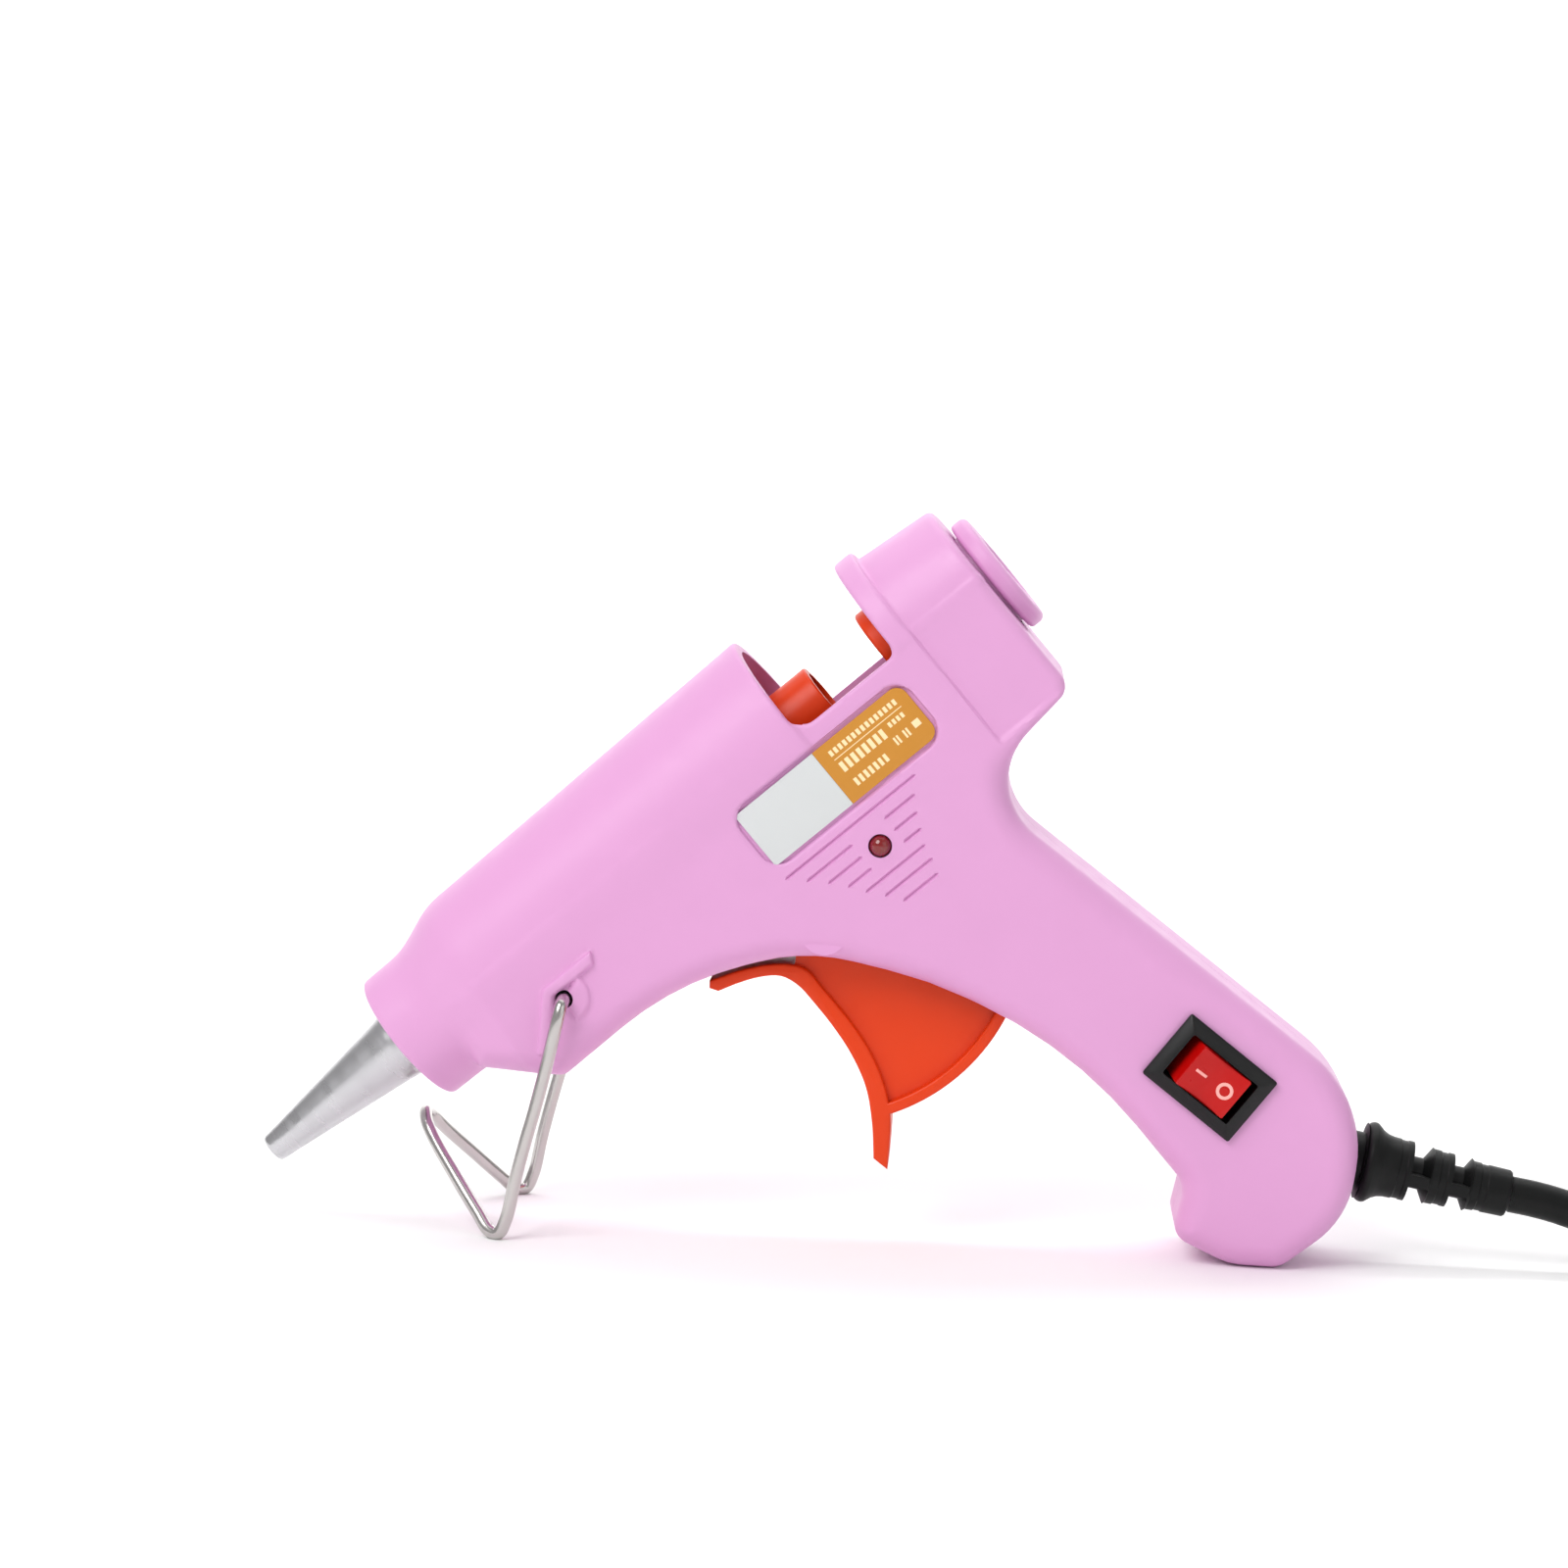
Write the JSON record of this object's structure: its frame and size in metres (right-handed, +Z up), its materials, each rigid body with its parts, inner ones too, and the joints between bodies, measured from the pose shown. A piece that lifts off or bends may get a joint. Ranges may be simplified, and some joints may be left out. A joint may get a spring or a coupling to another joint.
{
  "type": "hot-melt glue gun",
  "caption": "Small pistol-grip hot-melt glue gun with open stick window, orange trigger, wire stand, rocker switch, indicator lamp and mains cord.",
  "frame": {"origin": "on the floor, at the centre of the gun's bounding box without its loose cord", "axes": "+X towards the back of the gun, where the cord leaves the butt; +Y towards the screw side, so the label side faces -Y; +Z up. The gun stands on its wire stand and its butt, nozzle down to the left."},
  "size_m": [0.287, 0.0538, 0.1007],
  "materials": {
    "shell_pink": "satin moulded nylon with soft highlights",
    "orange": "satin moulded",
    "nozzle_aluminium": "turned, dull, bright band near the tip",
    "cast_aluminium": "as cast",
    "heater_ceramic": "insulating film over a ceramic plate",
    "steel": "zinc plated",
    "stand_wire": "bright drawn wire",
    "silicone": "matt silicone",
    "switch_black": "satin",
    "rocker_red": "satin",
    "brass": "plain",
    "led_red": "clear tinted dome",
    "resistor": "lacquer",
    "rubber_black": "matt moulded PVC",
    "label_grey": "printed foil",
    "label_gold": "printed foil",
    "lead_brown": "insulation",
    "lead_blue": "insulation",
    "cord_black": "matt PVC sheath"
  },
  "bodies": {
    "gun": {"housing_left": "shell_pink", "housing_right": "shell_pink", "inlet_collar": "shell_pink", "nozzle": "nozzle_aluminium", "heating_chamber": "cast_aluminium", "ptc_heater": "heater_ceramic", "heater_clip": "steel", "inlet_sleeve": "silicone", "sleeve_clamp": "steel", "inlet_bush": "orange", "trigger_pin": "steel", "return_spring": "steel", "switch_body": "switch_black", "switch_terminal_live": "brass", "switch_terminal_load": "brass", "indicator_led": "led_red", "led_resistor": "resistor", "strain_relief": "rubber_black", "label_blank": "label_grey", "label_rating": "label_gold", "housing_screw_1": "steel", "housing_screw_2": "steel", "housing_screw_3": "steel", "housing_screw_4": "steel", "housing_screw_5": "steel", "housing_screw_6": "steel", "lead_live": "lead_brown", "lead_load": "lead_brown", "lead_neutral": "lead_blue", "power_cord": "cord_black", "power_cord_hank": "cord_black", "power_cord_tail": "cord_black", "plug_body": "rubber_black", "plug_pin_1": "brass", "plug_pin_2": "brass"},
    "trigger": {"trigger": "orange"},
    "carriage": {"feed_carriage": "orange", "gripper_pin": "steel"},
    "gripper": {"stick_gripper": "steel"},
    "rocker": {"switch_rocker": "rocker_red"},
    "stand": {"wire_stand": "stand_wire"}
  },
  "joints": [
    {"name": "trigger_pull", "type": "hinge", "parent": "gun", "child": "trigger", "pos_m": [-0.00909, 0, 0.04396], "axis": [0, -1, 0], "range_deg": [0, 22], "stiffness_Nm_per_rad": 0.15, "springref_deg": -17.19},
    {"name": "carriage_slide", "type": "slide", "parent": "gun", "child": "carriage", "axis": [-0.7448, 0, -0.6673], "range_m": [0, 0.0065], "deforming": ["return_spring"]},
    {"name": "gripper_tilt", "type": "hinge", "parent": "carriage", "child": "gripper", "pos_m": [-0.00983, 0, 0.06772], "axis": [0, 1, 0], "range_deg": [0, 8]},
    {"name": "switch_rock", "type": "hinge", "parent": "gun", "child": "rocker", "pos_m": [0.04384, -0.01062, 0.02656], "axis": [-0.5981, 0.0173, -0.8012], "range_deg": [0, 16]},
    {"name": "stand_swing", "type": "hinge", "parent": "gun", "child": "stand", "pos_m": [-0.04396, 0, 0.03299], "axis": [0, -1, 0], "range_deg": [0, 95]}
  ],
  "couplings": [
    {"joint": "carriage_slide", "follows": "trigger_pull", "m_per_rad": 0.016896},
    {"joint": "gripper_tilt", "follows": "trigger_pull", "ratio": 0.3636}
  ]
}
